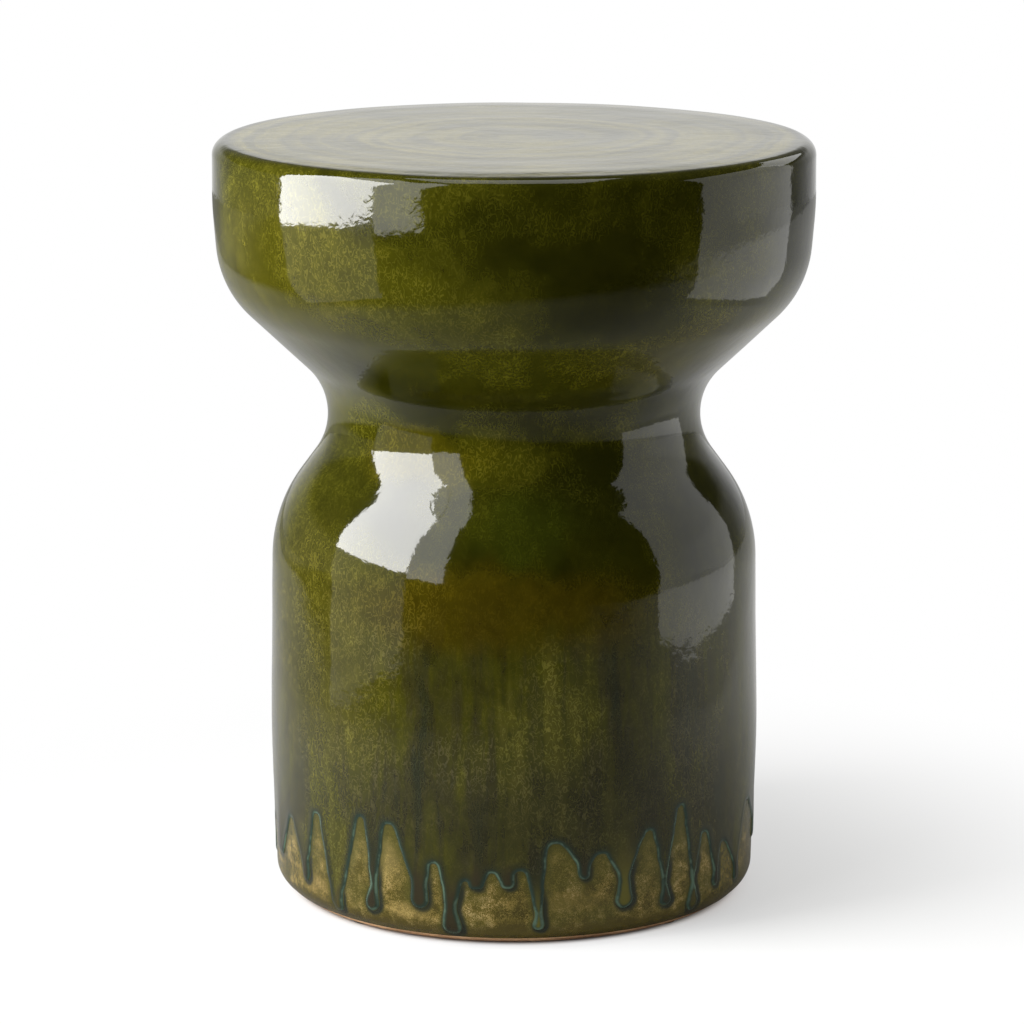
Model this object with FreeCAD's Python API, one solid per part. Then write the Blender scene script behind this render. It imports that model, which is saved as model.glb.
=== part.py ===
import FreeCAD, Part
import os
from math import acos, atan2, ceil, cos, hypot, pi, radians, sin, tan

# Glazed stoneware garden stool: a straight drum, a narrow neck and a wide flared seat.
# It is built as a potter builds it. Hollow sections are thrown apart and luted on each other,
# a flat slab closes the top and a thick ring makes the foot. A honey glaze is banded round
# the foot, and the green glaze over it runs down in drips. All sizes are in millimetres.
# The origin is on the floor under the middle of the stool, +Z is up and -Y is its front.

V = FreeCAD.Vector

# Radii of the outline's corners, before they are rounded
FOOT_RADIUS = 132.9
DRUM_RADIUS = 145.5
NECK_RADIUS = 97.5
SEAT_RADIUS = 178.0

# Rise from one corner of the outline to the next, from the floor up
PAD_THICKNESS = 1.5
BASE_RISE = 8.2
DRUM_RISE = 219.9
SHOULDER_RISE = 64.9
FLARE_RISE = 76.9
SIDE_RISE = 82.6

# Radius that each of those corners is rounded to
BASE_ROUND = 28.0
SHOULDER_ROUND = 87.0
NECK_ROUND = 41.0
BELLY_ROUND = 80.0
RIM_ROUND = 8.5

# Clay
WALL = 9.0
SEAT_SLAB = 13.0
FOOT_SLAB = 11.0
FOOT_WIDTH = 22.0

# Run glaze on the lower drum
BARE_FOOT = 2.0
RUN_HEIGHT = 96.5
RUN_THICKNESS = 1.0
RUN_FEATHER = 0.2
RUN_FADE = 12.0

# Rubber pads under the foot
PAD_DIAMETER = 18.0
PAD_COUNT = 4

# The run glaze's drips and the arches between them, round the front from left to right:
# arch at degrees, its top as a share of the run's height, half its width,
# drip at degrees, its tip as a share of that height, half its bead, half its neck, bead's lean
FRONT_DRIPS = [
    (-65.5, 0.53, 3.0, -58.8, 0.18, 5.0, 5.0, 2.0),
    (-52.9, 0.62, 3.0, -46.2, 0.05, 4.0, 5.0, -1.0),
    (-37.7, 0.69, 3.0, -34.3, 0.11, 6.0, 3.6, -1.8),
    (-30.1, 0.68, 4.5, -22.3, 0.19, 6.0, 5.0, 0.0),
    (-18.6, 0.48, 2.5, -14.8, 0.03, 6.7, 4.7, 1.0),
    (-11.2, 0.37, 1.5, -8.8, 0.33, 4.0, 4.0, 0.0),
    (-5.1, 0.43, 2.5, -1.4, 0.34, 4.2, 4.2, 0.0),
    (1.4, 0.45, 2.5, 5.6, 0.08, 4.0, 2.6, 0.0),
    (9.2, 0.61, 4.5, 16.2, 0.38, 3.8, 3.8, 0.0),
    (20.4, 0.51, 4.0, 26.2, 0.18, 8.0, 4.6, 0.0),
    (32.6, 0.62, 3.5, 37.4, 0.14, 5.0, 1.9, 1.2),
    (41.8, 0.71, 3.0, 46.5, 0.04, 6.5, 1.6, 0.8),
    (50.3, 0.52, 3.0, 55.3, 0.17, 3.5, 3.3, 0.0),
    (58.3, 0.41, 2.5, 65.7, 0.13, 4.0, 3.0, 0.0),
]
NECK_ABOVE_TIP = 2.5
NECK_ROUND_OFF = 8.0
CELL_OVERLAP = 1.0

# The same round the back: middle value, how far it strays, and the stray's pace and start
BACK_START = 72.8
BACK_DRIPS = 12
BACK_ARCH_PLACE = (0.0, 0.13, 2.4, 0.0)
BACK_ARCH_TOP = (0.55, 0.11, 2.1, 0.4)
BACK_ARCH_HALF = 3.0
BACK_DRIP_PLACE = (0.5, 0.06, 1.9, 1.0)
BACK_TIP = (0.17, 0.12, 3.3, 2.0)
BACK_BEAD = (5.0, 1.3, 1.3, 0.0)
BACK_NECK_SHARE = 0.65
BACK_LEAN = (0.0, 1.0, 2.7, 0.0)

# Largest gap between a true round and the flats that it is turned in
OUTER_FLATNESS = 1.25
INNER_FLATNESS = 4.0
DRIP_FLATNESS = 1.0
WIDEST_TURN = radians(46)

# Heights and radii that follow from the sizes above
FOOT_Z = PAD_THICKNESS
BASE_Z = FOOT_Z + BASE_RISE
SHOULDER_Z = BASE_Z + DRUM_RISE
NECK_Z = SHOULDER_Z + SHOULDER_RISE
BELLY_Z = NECK_Z + FLARE_RISE
TOP_Z = BELLY_Z + SIDE_RISE
SLAB_Z = TOP_Z - SEAT_SLAB
FOOT_SEAM_Z = FOOT_Z + FOOT_SLAB
GLAZE_FOOT_Z = FOOT_Z + BARE_FOOT
RUN_TOP_Z = GLAZE_FOOT_Z + RUN_HEIGHT
FAR = 2 * max(SEAT_RADIUS, DRUM_RADIUS, FOOT_RADIUS)

OUTLINE = [
    (FOOT_RADIUS, FOOT_Z, 0.0),
    (DRUM_RADIUS, BASE_Z, BASE_ROUND),
    (DRUM_RADIUS, SHOULDER_Z, SHOULDER_ROUND),
    (NECK_RADIUS, NECK_Z, NECK_ROUND),
    (SEAT_RADIUS, BELLY_Z, BELLY_ROUND),
    (SEAT_RADIUS, TOP_Z, RIM_ROUND),
    (0.0, TOP_Z, 0.0),
]


def bearing(start, end):
    """Angle of the line from one corner to the next, in radians."""
    return atan2(end[1] - start[1], end[0] - start[0])


def turn_between(first, second):
    """Turn from one bearing to the next, positive to the left."""
    return (second - first + pi) % (2 * pi) - pi


def step(point, angle, length):
    """The point that lies a length away along a bearing."""
    return point[0] + length * cos(angle), point[1] + length * sin(angle)


def meeting(first, second):
    """Point where two lines cross, each given as a point and a bearing."""
    (x0, z0), angle0 = first
    (x1, z1), angle1 = second
    across = sin(angle1 - angle0)
    if abs(across) < 1e-6:
        return x1, z1
    along = ((x1 - x0) * sin(angle1) - (z1 - z0) * cos(angle1)) / across
    return step((x0, z0), angle0, along)


def set_back(outline, depth):
    """The outline moved inwards by a depth, with its foot still on the foot's plane."""
    bearings = [bearing(a, b) for a, b in zip(outline, outline[1:])]
    lines = [(outline[0][:2], 0.0)]
    for corner, angle in zip(outline, bearings):
        lines.append((step(corner[:2], angle + pi / 2, depth), angle))
    lines.append(((0.0, 0.0), pi / 2))
    moved = []
    for i, corner in enumerate(outline):
        rounding = corner[2]
        if rounding:
            bulges = turn_between(bearings[i - 1], bearings[i]) > 0
            rounding = max(0.0, rounding - depth if bulges else rounding + depth)
        moved.append((*meeting(lines[i], lines[i + 1]), rounding))
    return moved


def rounding_ends(corners, turns):
    """Distance from each corner to the ends of its rounding, held back where two would meet."""
    ends = [abs(tan(turn / 2)) * corner[2] for corner, turn in zip(corners, turns)]
    shares = [1.0] * len(corners)
    for i in range(len(corners) - 1):
        room = hypot(corners[i + 1][0] - corners[i][0], corners[i + 1][1] - corners[i][1])
        wanted = ends[i] + ends[i + 1]
        if wanted > room:
            shares[i] = min(shares[i], room / wanted)
            shares[i + 1] = min(shares[i + 1], room / wanted)
    return [end * share for end, share in zip(ends, shares)]


def rounded(corners, flatness):
    """Points along an open outline, each rounding turned in even flats that touch its arc."""
    bearings = [bearing(a, b) for a, b in zip(corners, corners[1:])]
    turns = [turn_between(a, b) for a, b in zip(bearings, bearings[1:])]
    ends = rounding_ends(corners, [0.0] + turns + [0.0])
    points = [corners[0][:2]]
    for i in range(1, len(corners) - 1):
        end, turn = ends[i], turns[i - 1]
        if end < flatness or abs(turn) < 1e-6:
            points.append(corners[i][:2])
            continue
        radius = end / abs(tan(turn / 2))
        widest = min(WIDEST_TURN, 2 * acos(radius / (radius + flatness)))
        count = ceil(abs(turn) / widest)
        flat = radius * abs(tan(turn / count / 2))
        angle = bearings[i - 1]
        point = step(corners[i][:2], angle + pi, end)
        for _ in range(count):
            point = step(point, angle, flat)
            points.append(point)
            angle += turn / count
            point = step(point, angle, flat)
    points.append(corners[-1][:2])
    return points


def face_of(points):
    """Flat face inside a closed run of points, given as across and up."""
    corners = [V(x, 0, z) for x, z in points]
    return Part.Face(Part.makePolygon(corners + corners[:1]))


def inside(outline, flatness):
    """Half-section of all that an outline holds, from its foot's plane to its top."""
    return face_of(rounded(outline, flatness) + [(0.0, outline[0][1])])


def between(low, high):
    """Half-section of all that lies between two heights."""
    return face_of([(0.0, low), (FAR, low), (FAR, high), (0.0, high)])


def turned(section):
    """Solid of revolution of a half-section in one piece."""
    return section.Faces[0].revolve(V(0, 0, 0), V(0, 0, 1), 360)


def narrowest(points):
    """Height of the waist, the point of an outline nearest the axis between foot and top."""
    return min(points[1:-2])[1]


def foot_ring(stool):
    """Thick flat ring that the drum stands on, bare underneath and open in the middle."""
    eye_radius = FOOT_RADIUS - FOOT_WIDTH
    eye = face_of([(0.0, FOOT_Z), (eye_radius, FOOT_Z), (eye_radius, FOOT_SEAM_Z), (0.0, FOOT_SEAM_Z)])
    return turned(stool.common(between(FOOT_Z, FOOT_SEAM_Z)).cut(eye))


def drum_section(stool, hollow, waist):
    """Lower hollow section, from the foot ring over the shoulder to the waist."""
    return turned(stool.common(between(FOOT_SEAM_Z, waist)).cut(hollow))


def bowl_section(stool, hollow, waist):
    """Upper hollow section, which flares from the waist to the seat."""
    return turned(stool.common(between(waist, SLAB_Z)).cut(hollow))


def seat_slab(stool):
    """Flat slab with a rounded rim that closes the bowl."""
    return turned(stool.common(between(SLAB_Z, TOP_Z)))


def stray(value, k):
    """A value that strays from its middle from one back drip to the next."""
    middle, reach, pace, start = value
    return middle + reach * sin(pace * k + start)


def all_drips():
    """Arches and drips all round: the front's list, then uneven ones round the back."""
    drips = list(FRONT_DRIPS)
    pitch = (360.0 + FRONT_DRIPS[0][0] - BACK_START) / BACK_DRIPS
    for k in range(BACK_DRIPS):
        arch = BACK_START + pitch * (k + stray(BACK_ARCH_PLACE, k))
        drip = BACK_START + pitch * (k + stray(BACK_DRIP_PLACE, k))
        bead = stray(BACK_BEAD, k)
        neck = BACK_NECK_SHARE * bead
        drips.append((arch, stray(BACK_ARCH_TOP, k), BACK_ARCH_HALF, drip, stray(BACK_TIP, k), bead, neck,
                      stray(BACK_LEAN, k)))
    return drips


def drip_outline(drip, next_arch):
    """Corners of one drip from the arch on its left to the arch on its right."""
    arch, top, arch_half, middle, tip, bead, neck, lean = drip
    left = radians(arch - middle) * DRUM_RADIUS
    right = radians(next_arch[0] - middle) * DRUM_RADIUS
    left_z = GLAZE_FOOT_Z + top * RUN_HEIGHT
    right_z = GLAZE_FOOT_Z + next_arch[1] * RUN_HEIGHT
    tip_z = GLAZE_FOOT_Z + tip * RUN_HEIGHT
    neck_z = tip_z + NECK_ABOVE_TIP * bead
    has_neck = neck_z + bead < min(left_z, right_z)
    above = RUN_TOP_Z + CELL_OVERLAP
    corners = [
        (left - CELL_OVERLAP, above, 0.0),
        (left - CELL_OVERLAP, left_z, 0.0),
        (left + arch_half, left_z, arch_half),
    ]
    if has_neck:
        corners.append((-neck, neck_z, NECK_ROUND_OFF))
    corners.append((lean - bead, tip_z, bead))
    corners.append((lean + bead, tip_z, bead))
    if has_neck:
        corners.append((neck, neck_z, NECK_ROUND_OFF))
    corners += [
        (right - next_arch[2], right_z, next_arch[2]),
        (right + CELL_OVERLAP, right_z, 0.0),
        (right + CELL_OVERLAP, above, 0.0),
    ]
    return corners


def run_coat():
    """Ring of glaze on the lower drum, a feather edge at its top and full at its drips."""
    thick = set_back(OUTLINE, -RUN_THICKNESS)[:2]
    thick.append((DRUM_RADIUS + RUN_THICKNESS, RUN_TOP_Z - RUN_FADE, 0.0))
    thick.append((DRUM_RADIUS + RUN_FEATHER, RUN_TOP_Z, 0.0))
    thick.append((0.0, RUN_TOP_Z, 0.0))
    ring = inside(thick, OUTER_FLATNESS).cut(inside(OUTLINE, OUTER_FLATNESS))
    return turned(ring.common(between(GLAZE_FOOT_Z, RUN_TOP_Z)))


def green_glaze_run():
    """Green glaze that has run down the drum and hangs over the honey glaze in drips."""
    nearest = min(FOOT_RADIUS, DRUM_RADIUS) - RUN_THICKNESS
    furthest = max(FOOT_RADIUS, DRUM_RADIUS) + 2 * RUN_THICKNESS
    drips = all_drips()
    prisms = []
    for drip, next_arch in zip(drips, drips[1:] + drips[:1]):
        if next_arch[0] < drip[0]:
            next_arch = (next_arch[0] + 360.0, *next_arch[1:])
        face = face_of(rounded(drip_outline(drip, next_arch), DRIP_FLATNESS))
        face.translate(V(0, -nearest * cos(radians(next_arch[0] - drip[0])), 0))
        prism = face.extrude(V(0, -furthest, 0))
        prism.rotate(V(0, 0, 0), V(0, 0, 1), drip[3])
        prisms.append(prism)
    fringe = prisms[0].multiFuse(prisms[1:])
    return run_coat().common(fringe)


def rubber_feet():
    """Thin round pads spaced evenly under the middle of the foot ring."""
    reach = FOOT_RADIUS - FOOT_WIDTH / 2
    pads = []
    for k in range(PAD_COUNT):
        angle = 2 * pi * (k + 0.5) / PAD_COUNT
        place = V(reach * cos(angle), reach * sin(angle), 0)
        pads.append(Part.makeCylinder(PAD_DIAMETER / 2, PAD_THICKNESS, place))
    return Part.makeCompound(pads)


def main():
    os.makedirs("parts", exist_ok=True)
    stool = inside(OUTLINE, OUTER_FLATNESS)
    hollow = inside(set_back(OUTLINE, WALL), INNER_FLATNESS)
    waist = narrowest(rounded(OUTLINE, OUTER_FLATNESS))
    nodes = {
        "foot_ring": foot_ring(stool),
        "drum_section": drum_section(stool, hollow, waist),
        "bowl_section": bowl_section(stool, hollow, waist),
        "seat_slab": seat_slab(stool),
        "green_glaze_run": green_glaze_run(),
        "rubber_feet": rubber_feet(),
    }
    for name, shape in nodes.items():
        shape.exportStep(f"parts/{name}.step")
        print(name, len(shape.Solids), shape.isValid(), round(shape.Volume / 1000, 1), "cm3")


main()
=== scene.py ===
"""Looks of a turned and glazed stoneware garden stool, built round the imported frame."""

import logging
import math
from collections.abc import Callable, Iterator, Sequence
from contextlib import contextmanager
from dataclasses import dataclass
from enum import Enum

import bpy
import numpy as np
from bpy.types import Material, Mesh, Node, NodeSocket, NodeTree, Object
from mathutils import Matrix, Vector, noise


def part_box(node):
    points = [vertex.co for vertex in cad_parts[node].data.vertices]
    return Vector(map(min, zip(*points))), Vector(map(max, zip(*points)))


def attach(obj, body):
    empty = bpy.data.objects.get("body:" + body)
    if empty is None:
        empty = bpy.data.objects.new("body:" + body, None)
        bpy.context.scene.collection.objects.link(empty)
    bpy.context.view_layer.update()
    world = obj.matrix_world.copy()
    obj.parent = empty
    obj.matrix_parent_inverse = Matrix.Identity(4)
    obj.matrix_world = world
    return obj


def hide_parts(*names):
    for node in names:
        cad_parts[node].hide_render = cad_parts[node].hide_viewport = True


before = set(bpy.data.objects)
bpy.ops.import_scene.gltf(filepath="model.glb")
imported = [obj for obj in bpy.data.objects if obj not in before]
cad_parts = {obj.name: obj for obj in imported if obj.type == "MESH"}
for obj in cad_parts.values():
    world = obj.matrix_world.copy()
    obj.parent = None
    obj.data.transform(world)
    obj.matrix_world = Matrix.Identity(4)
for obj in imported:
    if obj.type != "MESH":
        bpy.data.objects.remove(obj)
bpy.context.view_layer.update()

MM = 0.001
Pair = tuple[float, float]
Triple = tuple[float, float, float]
Four = tuple[float, float, float, float]
Colour = Triple
WHITE = (1.0, 1.0, 1.0)
HALF = 0.5  # the middle of every noise
OUTLINE_STEP = 3.6 * MM
GIRTH_RADIUS = 145.5 * MM
LOG = logging.getLogger("garden_stool")


# Outline of the turned body

@dataclass(frozen=True)
class Corner:
    """A corner of a path, in metres, and the radius that rounds it."""

    across: float
    up: float
    rounding: float = 0.0


STOOL_CORNERS = tuple(Corner(*(size * MM for size in row)) for row in (
    (132.9, 1.5),
    (144.3, 8.9, 28),
    (146.65, 100, 739),
    (144.3, 231.2, 87),
    (97.45, 294.5, 41),
    (173.9, 367.5, 66),
    (177.8, 413.7, 200),
    (177.7, 453.0, 8.5),
    (153, 453.65, 260),
    (0.0, 453.65),
))
ABOVE_SEAT = 1.0  # metres; past every height of the stool
STRAIGHT = 1e-4  # radians; a smaller turn is no corner
LEG_SHARE = 0.49  # of a leg, which one corner's round may use
ARC_STEP = 0.14  # of its radius, the longest step along a round
SAME_PLACE = 1e-7  # metres


def rounded_path(corners: Sequence[Corner], spacing: float) -> np.ndarray:
    """Rounds a path's corners and lays points along it.

    Args:
        corners: The path's corners in order.
        spacing: The longest step between two points, in metres.

    Returns:
        The points, one row each of across and up.
    """
    at = np.array([(c.across, c.up) for c in corners], float)
    runs = np.diff(at, axis=0)
    lengths = np.linalg.norm(runs, axis=1)
    ways = runs / lengths[:, None]
    bends = [at[0][None]]
    for i in range(1, len(corners) - 1):
        turn = math.acos(max(-1.0, min(1.0, float(ways[i - 1] @ ways[i]))))
        room = LEG_SHARE * min(lengths[i - 1], lengths[i])
        if turn < STRAIGHT or corners[i].rounding <= 0:
            bends.append(at[i][None])
            continue
        reach = min(corners[i].rounding * math.tan(turn / 2), room)
        radius = reach / math.tan(turn / 2)
        middle = ways[i] - ways[i - 1]
        centre = at[i] + middle / np.linalg.norm(middle) * radius / math.cos(turn / 2)
        first = at[i] - ways[i - 1] * reach - centre
        side = math.copysign(1.0, ways[i - 1][0] * ways[i][1] - ways[i - 1][1] * ways[i][0])
        count = max(2, math.ceil(turn * radius / min(spacing, ARC_STEP * radius)) + 1)
        angles = np.linspace(0.0, side * turn, count)
        c, s = np.cos(angles), np.sin(angles)
        arc = np.stack([first[0] * c - first[1] * s, first[0] * s + first[1] * c], 1)
        bends.append(arc + centre)
    bends.append(at[-1][None])
    path = [bends[0]]
    for before, after in zip(bends, bends[1:]):
        gap = after[0] - before[-1]
        count = max(1, math.ceil(np.linalg.norm(gap) / spacing))
        steps = np.arange(1, count)[:, None] / count
        path.append(before[-1] + gap * steps)
        path.append(after)
    points = np.concatenate(path)
    keep = np.append(True, np.linalg.norm(np.diff(points, axis=0), axis=1) > SAME_PLACE)
    return points[keep]


class Outline:
    """The outer half outline of the glazed body, from the foot to the middle of the seat."""

    SEAT_ROUND = 4 * MM
    CHUNK = 8192
    END_GAP = 1e-6

    def __init__(self, corners: Sequence[Corner], spacing: float) -> None:
        """Lays the points and works out their outward directions.

        Args:
            corners: The outline's corners, from the foot upwards.
            spacing: The step between two points, in metres.
        """
        self.points = rounded_path(corners, spacing)
        ways = np.gradient(self.points, axis=0)
        ways /= np.linalg.norm(ways, axis=1)[:, None]
        self.outward = np.stack([ways[:, 1], -ways[:, 0]], 1)
        self.outward[-1] = (0.0, 1.0)
        steps = np.linalg.norm(np.diff(self.points, axis=0), axis=1)
        self.along = np.append(0.0, np.cumsum(steps))
        self.side = np.arange(len(self.points)) <= self.points[:, 0].argmax()
        self.side |= self.points[:, 1] < corners[-2].up - self.SEAT_ROUND

    def radius_at(self, up: np.ndarray) -> np.ndarray:
        """The body's radius at these heights on its side."""
        return np.interp(up, self.points[self.side, 1], self.points[self.side, 0])

    def outward_at(self, up: np.ndarray) -> np.ndarray:
        """The outward direction, across and up, at these heights on the side."""
        heights = self.points[self.side, 1]
        ways = np.stack([np.interp(up, heights, self.outward[self.side, k]) for k in (0, 1)], 1)
        return ways / np.linalg.norm(ways, axis=1)[:, None]

    def along_at(self, up: np.ndarray) -> np.ndarray:
        """The way along the outline at these heights on the side."""
        return np.interp(up, self.points[self.side, 1], self.along[self.side])

    def nearest(self, points: np.ndarray) -> np.ndarray:
        """The index of the outline point nearest to each point given as across and up."""
        found = np.zeros(len(points), int)
        for start in range(0, len(points), self.CHUNK):
            part = slice(start, start + self.CHUNK)
            gaps = ((points[part, None] - self.points[None]) ** 2).sum(2)
            found[part] = gaps.argmin(1)
        return found

    def layer(self, low: float, high: float, depth: float) -> np.ndarray:
        """The stretch of the outline between two heights, set back into the body.

        Args:
            low: The height at which the stretch starts, in metres.
            high: The height at which it ends; above the seat for the whole top.
            depth: How far the stretch lies beneath the outline.

        Returns:
            Points in order from low to high, with both ends cut square.
        """
        moved = self.points - self.outward * depth
        moved[-1, 0] = 0.0
        moved[:, 0] = np.maximum(moved[:, 0], 0.0)
        inside = (moved[:, 1] > low + self.END_GAP) & (moved[:, 1] < high - self.END_GAP)
        ends = np.interp([low, high], moved[self.side, 1], moved[self.side, 0])
        top = [[ends[1], high]] if high < moved[-1, 1] else np.empty((0, 2))
        return np.concatenate([[[ends[0], low]], moved[inside], top])


@dataclass(frozen=True)
class Relief:
    """The uneven skin of a thrown and thickly glazed body: throwing rings and slow waves."""

    ring_depth: float = 0.10 * MM
    ring_pitch: float = 21 * MM
    wave_depth: float = 0.30 * MM
    wave_size: float = 62 * MM
    dimple_depth: float = 0.035 * MM
    dimple_size: float = 17 * MM
    ring_place: Pair = (3.1, 7.7)
    wave_place: Triple = (4.2, 1.3, 8.8)

    def at(self, points: np.ndarray, along: np.ndarray) -> np.ndarray:
        """The height of the skin over the plain form.

        Args:
            points: Places on the plain form, one row each of x, y and z.
            along: The way along the outline at each place.

        Returns:
            One height for each place, in metres.
        """
        heights = np.empty(len(points))
        wave_place = Vector(self.wave_place)
        for i, (place, way) in enumerate(zip(points.tolist(), along.tolist())):
            spot = Vector(place)
            ring = noise.noise(Vector((*self.ring_place, way / self.ring_pitch)))
            wave = noise.noise(spot / self.wave_size + wave_place)
            dimple = noise.noise(spot / self.dimple_size)
            heights[i] = (ring * self.ring_depth + wave * self.wave_depth
                          + dimple * self.dimple_depth)
        return heights


# Hem of the green run

@dataclass(frozen=True)
class Drip:
    """One arch of the hem and the drip to its right.

    Angles are in degrees round the drum from the front, and shares are of the fringe's height.
    """

    arch: float
    arch_top: float
    arch_half: float
    middle: float
    tip: float
    bead: float
    neck: float
    lean: float
    thin: float = 0.0


FRONT_DRIPS = tuple(Drip(*row) for row in (
    (-65.5, 0.53, 2.0, -58.8, 0.18, 4.5, 4.5, 2.0),
    (-52.9, 0.64, 1.6, -46.2, 0.06, 3.6, 5.5, 2.4, 0.25),
    (-37.7, 0.70, 2.0, -34.3, 0.12, 6.6, 2.8, -1.8),
    (-30.1, 0.69, 2.8, -22.3, 0.19, 5.8, 5.0, 0.0),
    (-18.6, 0.48, 1.6, -14.8, 0.035, 7.4, 3.6, 1.0),
    (-11.2, 0.38, 1.2, -8.8, 0.33, 4.0, 4.0, 0.0),
    (-5.1, 0.44, 1.8, -1.4, 0.34, 4.2, 4.2, 0.0),
    (1.4, 0.45, 2.5, 5.6, 0.08, 4.6, 2.2, 0.0, 1.0),
    (9.2, 0.62, 3.4, 16.2, 0.38, 3.8, 3.8, 0.0),
    (20.4, 0.53, 2.4, 26.2, 0.18, 7.8, 3.4, 0.0, 0.8),
    (32.6, 0.64, 2.0, 37.4, 0.14, 6.0, 1.9, 1.2),
    (41.8, 0.75, 1.8, 46.5, 0.06, 7.5, 1.6, 0.0, 0.3),
    (50.3, 0.54, 1.8, 55.3, 0.17, 4.2, 3.0, 0.0),
    (58.3, 0.43, 1.8, 65.7, 0.13, 4.0, 3.0, 0.0),
))


@dataclass(frozen=True)
class Stray:
    """A value that strays from its middle from one back drip to the next."""

    middle: float
    reach: float
    pace: float
    start: float

    def at(self, k: int) -> float:
        """The value for drip number k."""
        return self.middle + self.reach * math.sin(self.pace * k + self.start)


@dataclass(frozen=True)
class BackDrips:
    """The uneven drips round the back, which go on from the front's."""

    start: float = 72.8
    count: int = 12
    arch_place: Stray = Stray(0, 0.13, 2.4, 0)
    arch_top: Stray = Stray(0.55, 0.11, 2.1, 0.4)
    arch_half: float = 3.0
    drip_place: Stray = Stray(0.5, 0.06, 1.9, 1.0)
    tip: Stray = Stray(0.17, 0.12, 3.3, 2.0)
    bead: Stray = Stray(5, 1.3, 1.3, 0)
    neck_share: float = 0.65
    lean: Stray = Stray(0, 1, 2.7, 0)

    def made(self) -> list[Drip]:
        """The drips in order round the back."""
        pitch = (360.0 + FRONT_DRIPS[0].arch - self.start) / self.count
        found = []
        for k in range(self.count):
            bead = self.bead.at(k)
            found.append(Drip(
                self.start + pitch * (k + self.arch_place.at(k)), self.arch_top.at(k),
                self.arch_half, self.start + pitch * (k + self.drip_place.at(k)),
                self.tip.at(k), bead, self.neck_share * bead, self.lean.at(k)))
        return found


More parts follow.
